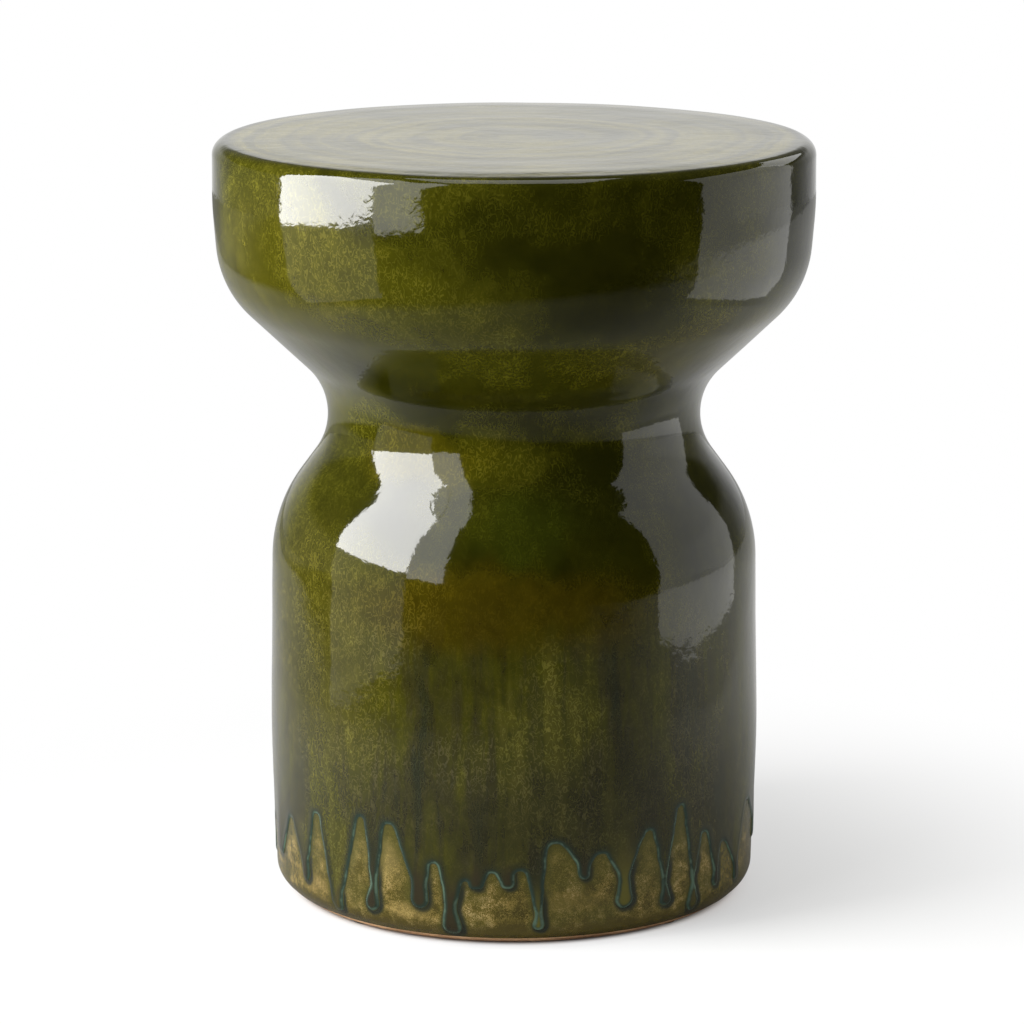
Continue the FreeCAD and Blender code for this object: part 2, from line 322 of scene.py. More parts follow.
class Hem:
    """The drip line of the green run, unrolled: the way round the drum, and the height."""

    FOOT = 3.5 * MM
    HEIGHT = 96.5 * MM
    NECK_ABOVE_TIP = 2.5
    NECK_ROUNDING = 8 * MM
    WINDOW = 13 * MM
    STEP = 0.6 * MM
    SMOOTHINGS = 5
    SLOW_SIZE, SLOW_REACH = 9 * MM, 0.9 * MM
    FAST_SIZE, FAST_REACH = 3.5 * MM, 0.3 * MM
    UPWARD_PLACE = Vector((5, 5, 5))
    BEAD_WIDTH = 1.25
    BEAD_STRETCH = 0.30
    HIGH_TIP_LOSS = 0.9
    THIN_WIDTH, THIN_HEIGHT = 1.1, 3.4

    def __init__(self, girth_radius: float, drips: Sequence[Drip]) -> None:
        """Rounds the hem's corners, lets it waver and smooths it.

        Args:
            girth_radius: The drum's radius, which turns angles into lengths.
            drips: All drips in order round the drum.
        """
        self.radius = girth_radius
        self.girth = 2 * math.pi * girth_radius
        self.drips = drips
        corners = []
        for drip, after in zip(drips, [*drips[1:], drips[0]]):
            corners += self._corners(drip, after)
        first = corners[0]
        corners.append(Corner(first.across + self.girth, first.up, first.rounding))
        line = self._waver(rounded_path(corners, self.STEP)[:-1])
        for _ in range(self.SMOOTHINGS):
            line = self._smoothed(line)
        shifts = [np.array((k * self.girth, 0.0)) for k in (-1, 0, 1)]
        self.line = np.concatenate([line + s for s in shifts] + [line[:1] + 2 * shifts[2]])

    def round(self, degrees: float) -> float:
        """The way round the drum for an angle in degrees."""
        return math.radians(degrees) * self.radius

    def height(self, share: float) -> float:
        """The height for a share of the fringe's height."""
        return self.FOOT + share * self.HEIGHT

    def _corners(self, drip: Drip, after: Drip) -> list[Corner]:
        """The corners from one arch down round its drip and up to the next arch."""
        turn = 360.0 if after.arch < drip.arch else 0.0
        left, right = self.round(drip.arch), self.round(after.arch + turn)
        middle = self.round(drip.middle)
        top, next_top = self.height(drip.arch_top), self.height(after.arch_top)
        tip = self.height(drip.tip)
        bead, neck = drip.bead * MM, drip.neck * MM
        neck_up = tip + self.NECK_ABOVE_TIP * bead
        narrow = neck_up + bead < min(top, next_top)
        half, next_half = drip.arch_half * MM, after.arch_half * MM
        necks = [[Corner(middle + way * neck, neck_up, self.NECK_ROUNDING)] if narrow else []
                 for way in (-1, 1)]
        beads = [Corner(middle + drip.lean * MM + way * bead, tip, bead) for way in (-1, 1)]
        return [Corner(left + half, top, half), *necks[0], *beads, *necks[1],
                Corner(right - next_half, next_top, next_half)]

    def _waver(self, line: np.ndarray) -> np.ndarray:
        """The line with the small unevenness of a glaze that ran."""
        moved = line.copy()
        for i, (x, y) in enumerate(line.tolist()):
            a = x / self.radius
            spot = Vector((math.cos(a) * self.radius, math.sin(a) * self.radius, y))
            slow, fast = spot / self.SLOW_SIZE, spot / self.FAST_SIZE
            moved[i, 0] += (noise.noise(slow) * self.SLOW_REACH
                            + noise.noise(fast) * self.FAST_REACH)
            moved[i, 1] += noise.noise(slow + self.UPWARD_PLACE) * self.SLOW_REACH
        return moved

    def _smoothed(self, line: np.ndarray) -> np.ndarray:
        """The line with each point moved towards the middle of its neighbours."""
        whole = np.array((self.girth, 0.0))
        before = np.concatenate([line[-1:] - whole, line[:-1]])
        after = np.concatenate([line[1:], line[:1] + whole])
        return 0.5 * line + 0.25 * (before + after)

    def measure(self, ways: np.ndarray, heights: np.ndarray) -> tuple[np.ndarray, ...]:
        """Sets a grid of places against the hem.

        Args:
            ways: The way round of each column, in metres.
            heights: The height of each row.

        Returns:
            The signed distance to the hem, which is positive on the green side, and the
            nearest point of the hem, both for each column and row.
        """
        a, b = self.line[:-1], self.line[1:]
        run = b - a
        square = (run ** 2).sum(1)
        distance = np.empty((len(ways), len(heights)))
        spot = np.empty((len(ways), len(heights), 2))
        for j, way in enumerate(ways):
            near = np.abs(a[:, 0] - way) < self.WINDOW
            p = np.stack([np.full(len(heights), way), heights], 1)
            share = ((p[:, None] - a[near][None]) * run[near][None]).sum(2) / square[near]
            share = np.clip(share, 0.0, 1.0)
            foot = a[near][None] + share[..., None] * run[near][None]
            gap = np.linalg.norm(p[:, None] - foot, axis=2)
            best = gap.argmin(1)
            rows = np.arange(len(heights))
            cross = (a[:, 0] <= way) != (b[:, 0] <= way)
            level = a[cross, 1] + (way - a[cross, 0]) / run[cross, 0] * run[cross, 1]
            over = (level[None] > heights[:, None]).sum(1)
            distance[j] = gap[rows, best] * np.where(over % 2 == 0, 1.0, -1.0)
            spot[j] = foot[rows, best]
        return distance, spot

    def beads(self, ways: np.ndarray, heights: np.ndarray) -> tuple[np.ndarray, ...]:
        """How far each place is in a drip's bead, and how thin its glaze is there.

        Args:
            ways: The way round of each place, in metres.
            heights: The height of each place.

        Returns:
            The bead's share and the thinness, from 0 to 1, for each place.
        """
        bead = np.zeros(ways.shape)
        thin = np.zeros(ways.shape)
        for drip in self.drips:
            size = drip.bead * MM
            aside = ways - self.round(drip.middle) - drip.lean * MM
            aside = (aside + self.girth / 2) % self.girth - self.girth / 2
            above = heights - self.height(drip.tip) - size
            stretch = np.where(above > 0, self.BEAD_STRETCH, 1.0)
            gap = np.hypot(aside, above * stretch) / (self.BEAD_WIDTH * size)
            share = np.exp(-gap ** 2) * (1.0 - self.HIGH_TIP_LOSS * drip.tip)
            bead = np.maximum(bead, share)
            long = (np.exp(-(aside / (self.THIN_WIDTH * size)) ** 2)
                    * np.exp(-(above / (self.THIN_HEIGHT * size)) ** 2))
            thin = np.maximum(thin, long * drip.thin)
        return bead, thin


# Modelling with Blender's own tools

class Bench:
    """Turning, laying out and finishing of meshes with the mesh operators."""

    DOUBLES = 1e-6
    SHARP = 40.0

    @staticmethod
    @contextmanager
    def editing() -> Iterator[None]:
        """Keeps the active piece in edit mode for the steps inside."""
        bpy.ops.object.mode_set(mode="EDIT")
        yield
        bpy.ops.object.mode_set(mode="OBJECT")

    @classmethod
    def choose(cls, mesh: Mesh, kind: str, chosen: Sequence[bool]) -> None:
        """Selects these vertices (VERT) or faces (FACE) of the active piece, and no others."""
        with cls.editing():
            bpy.ops.mesh.select_mode(type=kind)
            bpy.ops.mesh.select_all(action="DESELECT")
        parts = mesh.vertices if kind == "VERT" else mesh.polygons
        parts.foreach_set("select", chosen)

    @staticmethod
    def clear() -> None:
        """Deselects everything, so that an operator acts on the new piece alone."""
        bpy.ops.object.select_all(action="DESELECT")

    @classmethod
    def new(cls, name: str, shape: Callable[..., object], **sizes: object) -> Object:
        """Adds a plain shape with a mesh operator.

        Args:
            name: The new piece's name.
            shape: The operator.
            **sizes: What the operator is told.

        Returns:
            The new piece, which is the active one.
        """
        cls.clear()
        shape(**sizes)
        obj = bpy.context.object
        obj.name = obj.data.name = name
        return obj

    @staticmethod
    def places(obj: Object) -> np.ndarray:
        """The piece's vertices, one row each of x, y and z."""
        found = np.empty(len(obj.data.vertices) * 3, np.float32)
        obj.data.vertices.foreach_get("co", found)
        return found.reshape(-1, 3).astype(float)

    @staticmethod
    def move(obj: Object, places: np.ndarray) -> None:
        """Puts the piece's vertices at these places."""
        obj.data.vertices.foreach_set("co", places.astype(np.float32).ravel())
        obj.data.update()

    @staticmethod
    def mark(obj: Object, name: str, values: np.ndarray) -> None:
        """Keeps one number for each vertex, which a finish can read."""
        layer = obj.data.attributes.new(name, "FLOAT", "POINT")
        layer.data.foreach_set("value", values.astype(np.float32))

    @classmethod
    def turn(cls, name: str, section: np.ndarray, steps: int) -> Object:
        """Turns a half section round the stool's axis into a closed solid.

        Args:
            name: The new piece's name.
            section: The section's points in order, one row each of across and up.
            steps: How many steps the turn has.

        Returns:
            The turned piece, its place in its mesh.
        """
        obj = cls.new(name, bpy.ops.mesh.primitive_circle_add, vertices=len(section))
        cls.move(obj, np.stack([section[:, 0], np.zeros(len(section)), section[:, 1]], 1))
        lathe = obj.modifiers.new("lathe", "SCREW")
        lathe.steps = lathe.render_steps = steps
        lathe.use_merge_vertices = True
        cls.apply(obj)
        cls.close(cls.DOUBLES)
        return obj

    @classmethod
    def close(cls, gap: float) -> None:
        """Mends the active piece: merges doubles, drops loose edges, turns faces outwards.

        Args:
            gap: The greatest distance between two doubles.
        """
        with cls.editing():
            bpy.ops.mesh.select_all(action="SELECT")
            bpy.ops.mesh.remove_doubles(threshold=gap)
            bpy.ops.mesh.delete_loose(use_verts=True, use_edges=True, use_faces=False)
            bpy.ops.mesh.select_all(action="SELECT")
            bpy.ops.mesh.normals_make_consistent(inside=False)

    @classmethod
    def soften(cls, obj: Object, width: float, segments: int,
               degrees: float) -> None:
        """Rounds a piece's sharp edges.

        Args:
            obj: The piece.
            width: The round's width, in metres.
            segments: How many faces the round has.
            degrees: The least angle that counts as sharp.
        """
        bevel = obj.modifiers.new("soft_edges", "BEVEL")
        bevel.width = width
        bevel.segments = segments
        bevel.limit_method = "ANGLE"
        bevel.angle_limit = math.radians(degrees)
        cls.apply(obj)

    @staticmethod
    def apply(obj: Object) -> None:
        """Applies every modifier of the piece."""
        bpy.context.view_layer.objects.active = obj
        for modifier in list(obj.modifiers):
            bpy.ops.object.modifier_apply(modifier=modifier.name)

    @classmethod
    def smooth(cls, obj: Object, degrees: float = SHARP) -> None:
        """Shades the piece smooth, apart from edges sharper than this angle."""
        cls.clear()
        obj.select_set(True)
        bpy.context.view_layer.objects.active = obj
        bpy.ops.object.shade_smooth_by_angle(angle=math.radians(degrees))

    @classmethod
    def finish(cls, obj: Object, material: Material, slot: str,
               stands_for: Sequence[str] = ()) -> Object:
        """Dresses a piece and ties it to the frame.

        Args:
            obj: The finished piece.
            material: Its finish.
            slot: The record's material slot; not used.
            stands_for: The frame's nodes that it replaces.

        Returns:
            The same piece.
        """
        obj.data.materials.clear()
        obj.data.materials.append(material)
        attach(obj, "root")
        if stands_for:
            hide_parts(*stands_for)
        LOG.info("%s: %d vertices", obj.name, len(obj.data.vertices))
        return obj


# Finishes

class Blend(Enum):
    """The ways in which two colours are mixed."""

    PLAIN = "MIX"
    MULTIPLY = "MULTIPLY"


@dataclass(frozen=True)
class Grain:
    """A soft noise: its blotches to the metre, their detail, roughness and twist."""

    scale: "float | Value"
    detail: float = 3.0
    rough: float = 0.55
    twist: "float | Value" = 0.0


class Value:
    """A number, place or colour in a node tree, which can be reckoned with."""

    def __init__(self, nodes: "Nodes", socket: NodeSocket) -> None:
        """Takes the tree's nodes and the socket that gives the value."""
        self.nodes = nodes
        self.socket = socket

    def __add__(self, other: object) -> "Value":
        """The sum of this and another number."""
        return self.nodes.math("ADD", self, other)

    def __sub__(self, other: object) -> "Value":
        """This number less another."""
        return self.nodes.math("SUBTRACT", self, other)

    def __rsub__(self, other: float) -> "Value":
        """A plain number less this one."""
        return self.nodes.math("SUBTRACT", other, self)

    def __mul__(self, other: object) -> "Value":
        """The product of this and another number."""
        return self.nodes.math("MULTIPLY", self, other)

    def __abs__(self) -> "Value":
        """This number without its sign."""
        return self.nodes.math("ABSOLUTE", self)

    def at_least(self, other: object) -> "Value":
        """The greater of this and another number."""
        return self.nodes.math("MAXIMUM", self, other)

    def range(self, low: object, high: object, to_low: float = 0.0, to_high: float = 1.0,
              soft: bool = True) -> "Value":
        """Maps the stretch from low to high onto another, held at its ends."""
        kind = "SMOOTHSTEP" if soft else "LINEAR"
        return self.nodes.add("MapRange", {"interpolation_type": kind}, Value=self, From_Min=low,
                              From_Max=high, To_Min=to_low, To_Max=to_high)["Result"]


class Placed:
    """A placed node, whose outputs are read as values."""

    def __init__(self, nodes: "Nodes", node: Node) -> None:
        """Takes the tree's nodes and the node itself."""
        self.nodes = nodes
        self.node = node

    def __getitem__(self, key: str | int) -> Value:
        """The output of this name or number."""
        return Value(self.nodes, self.node.outputs[key])


class Nodes:
    """A node tree under construction."""

    STEP = 180

    def __init__(self, tree: NodeTree) -> None:
        """Takes the tree to build in."""
        self.tree = tree
        self._across = 0

    def add(self, kind: str, settings: dict[str, object] | None = None,
            **inputs: object) -> Placed:
        """Adds a node, sets it and links it.

        Args:
            kind: The node's type, without its ShaderNode prefix.
            settings: The node's own properties.
            **inputs: Numbers, colours or values for its inputs, with underscores for spaces.

        Returns:
            The new node.
        """
        node = self.tree.nodes.new("ShaderNode" + kind)
        node.location = (self._across, 0)
        self._across += self.STEP
        for key, value in (settings or {}).items():
            setattr(node, key, value)
        for key, value in inputs.items():
            self.feed(node.inputs[key.replace("_", " ")], value)
        return Placed(self, node)

    def feed(self, socket: NodeSocket, value: object) -> None:
        """Links a socket to a value, or sets it to a number or colour."""
        if isinstance(value, Value):
            self.tree.links.new(value.socket, socket)
        elif isinstance(value, tuple) and len(value) == 3 and socket.type == "RGBA":
            socket.default_value = (*value, 1.0)
        else:
            socket.default_value = value

    def feed_all(self, placed: Placed, values: dict[str | int, object]) -> Placed:
        """Feeds a placed node's inputs, by their names or numbers, and hands it back."""
        for key, value in values.items():
            self.feed(placed.node.inputs[key], value)
        return placed

    def stretched(self, place: Value, scale: Triple,
                  shift: Triple = (0.0, 0.0, 0.0)) -> Value:
        """The place with each axis scaled and shifted on its own."""
        return self.add("Mapping", Vector=place, Location=shift, Scale=scale)["Vector"]

    def length(self, place: Value) -> Value:
        """How far a place is from the middle."""
        return self.add("VectorMath", {"operation": "LENGTH"}, Vector=place)["Value"]

    def noise(self, place: Value, grain: Grain) -> Value:
        """A soft noise from 0 to 1."""
        return self.add("TexNoise", Vector=place, Scale=grain.scale, Detail=grain.detail,
                        Roughness=grain.rough, Distortion=grain.twist)["Fac"]

    def attribute(self, name: str) -> Value:
        """The number kept for each vertex under this name."""
        return self.add("Attribute", {"attribute_name": name})["Fac"]

    def math(self, how: str, *values: object) -> Value:
        """The outcome of a sum, a product or another step on numbers."""
        return self.feed_all(self.add("Math", {"operation": how}), dict(enumerate(values)))[0]

    def mix(self, share: object, first: object, second: object,
            how: Blend = Blend.PLAIN) -> Value:
        """Mixes two colours, by a share of the second."""
        node = self.add("Mix", {"data_type": "RGBA", "blend_type": how.value})
        return self.feed_all(node, {0: share, 6: first, 7: second})[2]

    def ramp(self, value: Value, stops: Sequence[tuple[float, Colour]]) -> Value:
        """The colour that belongs to a value between 0 and 1."""
        ramp = self.add("ValToRGB", Fac=value)
        marks = ramp.node.color_ramp.elements
        while len(marks) < len(stops):
            marks.new(0.5)
        for mark, (place, colour) in zip(marks, stops):
            mark.position = place
            mark.color = (*colour, 1.0)
        return ramp["Color"]

    def bump(self, height: Value, depth: float) -> Value:
        """A normal that lets a height show, of this depth in metres."""
        return self.add("Bump", Height=height, Distance=depth, Strength=1.0)["Normal"]

    def patched(self, colour: Value, place: Value, patches: "Sequence[Patch]",
                reach: float) -> Value:
        """Lays soft zones of other colours over a colour.

        Args:
            colour: The colour beneath.
            place: The place on the object.
            patches: The zones, each over the one before.
            reach: How far the zones' borders wander, in metres.

        Returns:
            The colour with the zones.
        """
        warp = self.add("TexNoise", Vector=place, Scale=Patch.WARP.scale,
                        Detail=Patch.WARP.detail, Roughness=Patch.WARP.rough)["Color"]
        moved = self.feed_all(self.add("VectorMath", {"operation": "MULTIPLY_ADD"}),
                              {0: warp, 1: (reach, reach, reach), 2: place})["Vector"]
        for patch in patches:
            shift = tuple(-(c + reach / 2) / r for c, r in zip(patch.middle, patch.reach))
            scale = tuple(1 / r for r in patch.reach)
            away = self.length(self.stretched(moved, scale, shift))
            share = away.range(1.0, Patch.FULL, 0.0, patch.share)
            colour = self.mix(share, colour, patch.colour)
        return colour


@dataclass(frozen=True)
class Patch:
    """A soft zone of another colour on the glaze: its middle, its reach and its strength."""

    WARP = Grain(24.0, 3.0, 0.6)
    FULL = 0.35

    middle: Triple
    reach: Triple
    colour: Colour
    share: float


def new_group(name: str, inputs: dict[str, str], outputs: Sequence[str]
              ) -> tuple[Nodes, Placed, Placed]:
    """Makes an empty node group.

    Args:
        name: The group's name.
        inputs: The names of its inputs, each with its kind.
        outputs: The names of its outputs, which are all numbers.

    Returns:
        The group's nodes under construction, its inputs and its outputs.
    """
    tree = bpy.data.node_groups.new(name, "ShaderNodeTree")
    sockets = [(key, "INPUT", kind) for key, kind in inputs.items()]
    sockets += [(key, "OUTPUT", "Float") for key in outputs]
    for key, way, kind in sockets:
        tree.interface.new_socket(name=key, in_out=way, socket_type="NodeSocket" + kind)
    nodes = Nodes(tree)
    ends = [Placed(nodes, tree.nodes.new("NodeGroup" + end)) for end in ("Input", "Output")]
    return nodes, *ends


SPECKLE_WIDE, SPECKLE_HAIR = 0.22, 0.6  # scales, as shares of the fine speckle's own
SPECKLE_FINE_SHARE = 0.7
SPECKLE_MASK, SPECKLE_FIBRE = (0.44, 0.60), (0.05, 0.01)
RIPPLE_SMALL, RIPPLE_WIDE = Grain(190.0, 2.0, 0.5, 0.5), Grain(60.0, 1.0, 0.5)
RIPPLE_FLOW, RIPPLE_WIDE_DEPTH = (1.0, 1.0, 0.7), 2.2


def speckle_group() -> NodeTree:
    """The crystals of a matt to glossy glaze, shared by both glazes.

    Returns:
        A node group with the place, the scale and the twist as inputs, and with a mask of the
        speckle and a mask of fine fibres as outputs.
    """
    nodes, given, out = new_group(
        "glaze_speckle", {"Vector": "Vector", "Scale": "Float", "Twist": "Float"},
        ("Mask", "Fibres"))
    place, scale, twist = (given[key] for key in ("Vector", "Scale", "Twist"))
    fine = nodes.noise(place, Grain(scale, 3.0, 0.7, twist))
    wide = nodes.noise(place, Grain(scale * SPECKLE_WIDE, 2.0, 0.5, 0.4))
    hair = nodes.noise(place, Grain(scale * SPECKLE_HAIR, 1.0, 0.5, twist))
    both = wide * (1 - SPECKLE_FINE_SHARE) + fine * SPECKLE_FINE_SHARE
    nodes.feed_all(out, {"Mask": both.range(*SPECKLE_MASK),
                         "Fibres": abs(hair - HALF).range(*SPECKLE_FIBRE)})
    return nodes.tree


def ripple_group() -> NodeTree:
    """The fine unevenness of a glazed skin, shared by both glazes.

    Returns:
        A node group with the place as input and a height as output.
    """
    nodes, given, out = new_group("glaze_ripple", {"Vector": "Vector"}, ("Height",))
    small = nodes.noise(given["Vector"], RIPPLE_SMALL)
    wide = nodes.noise(nodes.stretched(given["Vector"], RIPPLE_FLOW), RIPPLE_WIDE)
    nodes.feed_all(out, {"Height": wide * RIPPLE_WIDE_DEPTH + small})
    return nodes.tree


def new_material(name: str) -> tuple[Material, Nodes, Placed, Placed]:
    """Makes an empty material with a Principled shader.

    Args:
        name: The material's name.

    Returns:
        The material, its nodes under construction, the shader and the material's output.
    """
    material = bpy.data.materials.new(name)
    material.use_nodes = True
    material.node_tree.nodes.clear()
    nodes = Nodes(material.node_tree)
    shader = nodes.add("BsdfPrincipled")
    return material, nodes, shader, nodes.add("OutputMaterial", Surface=shader["BSDF"])


class Finish:
    """A finish of the stool, which can be made into a material."""

    NAME = ""

    def made(self) -> Material:
        """The finish as a material."""
        material, nodes, shader, _ = new_material(self.NAME)
        place = nodes.add("TexCoord")["Object"]
        nodes.feed_all(shader, self.look(nodes, place))
        return material

    def look(self, nodes: Nodes, place: Value) -> dict[str, object]:
        """What the shader's inputs take, by name, on each place of the object."""
        raise NotImplementedError


@dataclass(frozen=True)
class HemLines:
    """The hem's colours: how near the edge they lie, in millimetres, and how strong they are."""

    reach: float = 12.0
    grain: Grain = Grain(160.0, 2.0)
    waver: float = 0.9
    dark: Pair = (7.5, 2.0)
    dark_share: float = 0.7
    core: Pair = (1.8, 3.2)
    core_beads: Pair = (0.25, 0.8)
    core_share: float = 0.85
    thin: Pair = (1.2, 2.6)
    rim: Pair = (3.6, 1.0)
    rim_share: float = 0.85
    lit_grain: Grain = Grain(48.0, 4.0, 0.7)
    lit: Pair = (0.42, 0.62)
    pooled: Pair = (0.45, 0.9)
    middle: float = 0.75
    lit_middle: float = 0.35
    width: float = 0.6
    lit_width: float = 0.5
    pooled_width: float = 0.7
    share: float = 0.05
    lit_share: float = 0.72
    pooled_share: float = 0.55
    edge: Four = (0.45, 0.0, 0.0, 0.6)


@dataclass(frozen=True)
class GreenGlaze(Finish):
    """The glossy olive glaze that runs over the whole body and ends in the fringe."""

    NAME = "green_glaze"

    speckle: NodeTree
    ripple: NodeTree
    deep: Colour = (0.0110, 0.0115, 0.0007)
    olive: Colour = (0.0205, 0.0205, 0.0010)
    light: Colour = (0.036, 0.035, 0.0020)
    smoke: Colour = (0.024, 0.0220, 0.0060)
    moss: Colour = (0.035, 0.0345, 0.0030)
    straw: Colour = (0.056, 0.052, 0.0060)
    ink: Colour = (0.014, 0.0165, 0.0075)
    # Painted light: the seat top's tones are lighter, standing in for more light on the top.
    lit_seat_dark: Colour = (0.036, 0.034, 0.002)
    lit_seat_pale: Colour = (0.098, 0.086, 0.010)
    teal_dark: Colour = (0.014, 0.027, 0.020)
    teal: Colour = (0.075, 0.120, 0.080)
    core: Colour = (0.022, 0.0165, 0.0075)
    thin: Colour = (0.085, 0.078, 0.010)
    fibre_gain: Colour = (2.3, 2.2, 3.6)
    roughness: float = 0.055
    index: float = 1.5
    bump_depth: float = 0.06 * MM
    clouds: Grain = Grain(13.0, 3.0, 0.5, 0.6)
    cloud_stretch: Pair = (0.34, 0.66)
    blotches: Grain = Grain(75.0, 4.0, 0.6, 0.3)
    blotch_stretch: Pair = (0.32, 0.68)
    blotch_tones: tuple[Colour, ...] = (
        (0.78, 0.78, 0.78), (0.94, 0.94, 0.94), (1.12, 1.11, 1.1))
    wide_streaks: Grain = Grain(26.0, 4.0, 0.6, 1.0)
    fine_streaks: Grain = Grain(110.0, 4.0, 0.65, 0.6)
    wide_flow: Triple = (1.0, 1.0, 0.24)
    fine_flow: Triple = (1.0, 1.0, 0.11)
    wide_share: float = 0.62
    streak_stretch: Pair = (0.36, 0.64)
    streak_heights: Pair = (0.225, 0.15)
    streak_share: float = 0.85
    fibre_scale: float = 520.0
    fibre_twist: float = 1.3
    fibre_flow: Triple = (1.0, 1.0, 0.6)
    fibre_cover: Four = (0.38, 0.60, 0.25, 0.80)
    patch_reach: float = 0.045
    seat_drift: Grain = Grain(9.0, 3.0, 0.55)
    seat_rings: Grain = Grain(1.6, 3.0, 0.6)
    seat_clouds: Grain = Grain(14.0, 3.0, 0.55, 0.4)
    ring_drift: float = 0.035
    ring_share: float = 0.55
    ring_stretch: Pair = (0.40, 0.60)
    rings_per_metre: float = 46.0
    seat_heights: Pair = (0.4500, 0.4515)
    seat_radii: Pair = (0.1690, 0.1620)
    hem: HemLines = HemLines()
    patches: tuple[Patch, ...] = tuple(Patch(*row) for row in (
        ((-0.13, -0.11, 0.39), (0.10, 0.12, 0.07), (0.040, 0.037, 0.0028), 0.75),
        ((-0.04, -0.17, 0.375), (0.075, 0.07, 0.05), (0.034, 0.033, 0.0022), 0.6),
        ((-0.12, -0.09, 0.165), (0.075, 0.10, 0.10), (0.043, 0.039, 0.0038), 0.7),
        ((-0.005, -0.13, 0.200), (0.115, 0.10, 0.034), (0.034, 0.0245, 0.0009), 0.75),
        ((-0.055, -0.10, 0.282), (0.055, 0.08, 0.022), (0.042, 0.036, 0.0012), 0.7),
        ((0.045, -0.10, 0.262), (0.055, 0.09, 0.040), (0.0095, 0.0105, 0.0008), 0.75),
        ((0.005, -0.12, 0.245), (0.045, 0.08, 0.026), (0.018, 0.0225, 0.0014), 0.6),
        ((-0.010, -0.18, 0.425), (0.035, 0.06, 0.028), (0.0085, 0.0090, 0.0006), 0.6),
        ((0.060, -0.17, 0.395), (0.060, 0.07, 0.045), (0.012, 0.0120, 0.0008), 0.6),
        ((0.06, -0.14, 0.075), (0.12, 0.09, 0.060), (0.014, 0.0130, 0.0040), 0.6),
        ((0.10, -0.10, 0.347), (0.12, 0.10, 0.030), (0.046, 0.041, 0.0040), 0.6),
        ((-0.02, -0.15, 0.347), (0.11, 0.08, 0.022), (0.040, 0.039, 0.0030), 0.5),
        ((0.0, -0.10, 0.316), (0.09, 0.06, 0.018), (0.013, 0.0128, 0.0008), 0.7),
        ((0.10, 0.12, 0.20), (0.13, 0.12, 0.045), (0.034, 0.024, 0.0009), 0.6),
        ((-0.12, 0.10, 0.23), (0.12, 0.12, 0.050), (0.0105, 0.0115, 0.0008), 0.6),
        ((0.0, 0.17, 0.40), (0.14, 0.08, 0.045), (0.012, 0.012, 0.0008), 0.6),
    ))

    def look(self, nodes: Nodes, place: Value) -> dict[str, object]:
        """The clouds, streaks, zones, painted light on the seat top, fibres and hem of the glaze
        on each place.
        """
        height = nodes.add("SeparateXYZ", Vector=place)["Z"]
        clouds = nodes.noise(place, self.clouds)
        colour = nodes.ramp(clouds.range(*self.cloud_stretch, soft=False),
                            [(0.0, self.deep), (0.5, self.olive), (1.0, self.light)])
        wide = nodes.noise(nodes.stretched(place, self.wide_flow), self.wide_streaks)
        fine = nodes.noise(nodes.stretched(place, self.fine_flow), self.fine_streaks)
        streaked = nodes.ramp(
            (wide * self.wide_share + fine * (1 - self.wide_share)).range(
                *self.streak_stretch, soft=False),
            [(0.0, self.ink), (0.35, self.smoke), (0.7, self.moss), (1.0, self.straw)])
        low = height.range(*self.streak_heights)
        colour = nodes.mix(low * self.streak_share, colour, streaked)
        colour = nodes.patched(colour, place, self.patches, self.patch_reach)
        blotched = nodes.ramp(
            nodes.noise(place, self.blotches).range(*self.blotch_stretch, soft=False),
            list(zip((0.0, 0.5, 1.0), self.blotch_tones)))
        colour = nodes.mix(1.0, colour, blotched, Blend.MULTIPLY)
        colour = self._seat(nodes, colour, place, height)
        felt = nodes.add("Group", {"node_tree": self.speckle}, Scale=self.fibre_scale,
                         Vector=nodes.stretched(place, self.fibre_flow), Twist=self.fibre_twist)
        lifted = nodes.mix(1.0, colour, self.fibre_gain, Blend.MULTIPLY)
        felt_share = felt["Fibres"] * clouds.range(*self.fibre_cover)
        colour = nodes.mix(felt_share, colour, lifted)
        ripple = nodes.add("Group", {"node_tree": self.ripple}, Vector=place)["Height"]
        return {"Base Color": self._hem(nodes, colour, place), "Roughness": self.roughness,
                "IOR": self.index, "Normal": nodes.bump(ripple, self.bump_depth)}

    def _seat(self, nodes: Nodes, colour: Value, place: Value, height: Value) -> Value:
        """Paints the seat top lighter, as painted light for the brighter light on the top, with
        its faint turned rings.
        """
        flat = nodes.stretched(place, (1.0, 1.0, 0.0))
        away = nodes.length(flat)
        way = (away + nodes.noise(flat, self.seat_drift) * self.ring_drift) * self.rings_per_metre
        rings = nodes.add("TexNoise", {"noise_dimensions": "1D"}, W=way,
                          Scale=self.seat_rings.scale, Detail=self.seat_rings.detail,
                          Roughness=self.seat_rings.rough)["Fac"]
        both = (rings * self.ring_share
                + nodes.noise(flat, self.seat_clouds) * (1 - self.ring_share))
        # Painted light: the lighter seat tone, mixed over the top only.
        tone = nodes.mix(both.range(*self.ring_stretch), self.lit_seat_dark, self.lit_seat_pale)
        top = height.range(*self.seat_heights) * away.range(*self.seat_radii)
        return nodes.mix(top, colour, tone)

